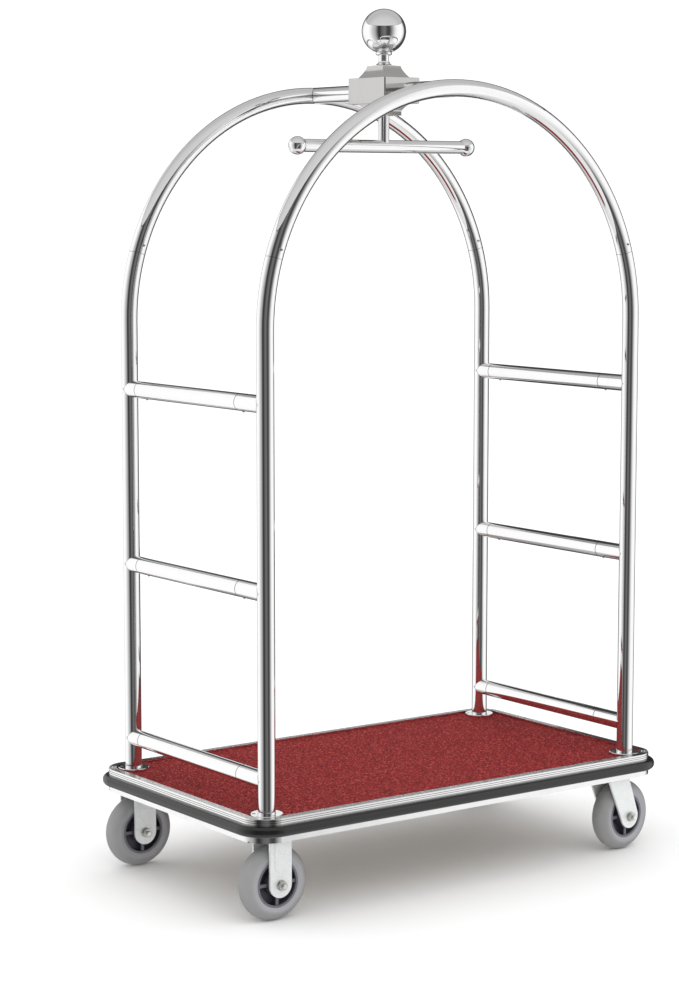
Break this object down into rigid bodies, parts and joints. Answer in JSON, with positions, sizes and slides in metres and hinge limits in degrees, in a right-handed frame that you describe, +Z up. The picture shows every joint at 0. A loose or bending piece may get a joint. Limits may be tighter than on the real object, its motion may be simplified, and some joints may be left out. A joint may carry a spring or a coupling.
{
  "type": "hotel luggage cart",
  "caption": "Hotel luggage cart: carpeted platform with bumper, chrome tube posts, arches and side rungs, a crown with ball finial and garment bar, on fixed and swivel casters.",
  "frame": {"origin": "on the floor under the middle of the platform", "axes": "+Z up, +X along the platform towards the swivel casters, +Y across it towards the side where the rungs have their short stubs"},
  "size_m": [1.11, 0.646, 1.8542],
  "materials": {
    "tube": "mirror polished",
    "crown": "mirror polished",
    "trim": "polished, with fine lengthwise ridges",
    "carpet": "short cut pile, dark red with black and lighter flecks",
    "board": "sealed plywood",
    "bumper": "smooth, slightly glossy",
    "rails": "satin",
    "caster_steel": "bright zinc plate",
    "fastener": "zinc plate",
    "screw": "plain",
    "sleeve": "plain",
    "tyre": "smooth grey rubber",
    "hub": "dark moulded"
  },
  "bodies": {
    "cart": {"arch_front": "tube", "arch_rear": "tube", "arch_sleeves": "sleeve", "axle_front_left": "fastener", "axle_rear_left": "fastener", "bar_end_balls": "crown", "cross_rails": "rails", "crown_base": "crown", "crown_block": "crown", "crown_cap": "crown", "crown_stub_front": "tube", "crown_stub_rear": "tube", "deck_board": "board", "deck_bumper": "bumper", "deck_carpet": "carpet", "deck_trim": "trim", "finial_ball": "crown", "finial_neck": "crown", "flange_screws": "screw", "garment_bar": "tube", "hanger_stem": "tube", "kingpins": "fastener", "plate_bolts": "fastener", "post_flanges": "tube", "post_front_left": "tube", "post_front_right": "tube", "post_rear_left": "tube", "post_rear_right": "tube", "rigid_fork_front": "caster_steel", "rigid_fork_rear": "caster_steel", "rung_left_lower": "tube", "rung_left_middle": "tube", "rung_left_upper": "tube", "rung_right_lower": "tube", "rung_right_middle": "tube", "rung_right_upper": "tube", "rung_sleeves": "sleeve", "rung_stubs_front_left": "tube", "rung_stubs_front_right": "tube", "rung_stubs_rear_left": "tube", "rung_stubs_rear_right": "tube", "set_screws": "screw", "side_rails": "rails", "skirt_screws": "fastener", "swivel_base_front": "caster_steel", "swivel_base_rear": "caster_steel", "tie_rod": "fastener"},
    "wheel_front_left": {"tyre_front_left": "tyre", "hub_front_left": "hub"},
    "swivel_front_right": {"swivel_fork_front": "caster_steel", "axle_front_right": "fastener"},
    "wheel_front_right": {"tyre_front_right": "tyre", "hub_front_right": "hub"},
    "wheel_rear_left": {"tyre_rear_left": "tyre", "hub_rear_left": "hub"},
    "swivel_rear_right": {"swivel_fork_rear": "caster_steel", "axle_rear_right": "fastener"},
    "wheel_rear_right": {"tyre_rear_right": "tyre", "hub_rear_right": "hub"}
  },
  "joints": [
    {"name": "wheel_front_left_spin", "type": "hinge", "parent": "cart", "child": "wheel_front_left", "pos_m": [-0.474, -0.26, 0.078], "axis": [0, 1, 0], "continuous": true},
    {"name": "swivel_front_right_turn", "type": "hinge", "parent": "cart", "child": "swivel_front_right", "pos_m": [0.4275, -0.26, 0.078], "axis": [0, 0, 1], "continuous": true},
    {"name": "wheel_front_right_spin", "type": "hinge", "parent": "swivel_front_right", "child": "wheel_front_right", "pos_m": [0.47424, -0.25509, 0.078], "axis": [-0.1045, 0.9945, 0], "continuous": true},
    {"name": "wheel_rear_left_spin", "type": "hinge", "parent": "cart", "child": "wheel_rear_left", "pos_m": [-0.474, 0.26, 0.078], "axis": [0, 1, 0], "continuous": true},
    {"name": "swivel_rear_right_turn", "type": "hinge", "parent": "cart", "child": "swivel_rear_right", "pos_m": [0.4275, 0.26, 0.078], "axis": [0, 0, 1], "continuous": true},
    {"name": "wheel_rear_right_spin", "type": "hinge", "parent": "swivel_rear_right", "child": "wheel_rear_right", "pos_m": [0.47424, 0.26491, 0.078], "axis": [-0.1045, 0.9945, 0], "continuous": true}
  ]
}
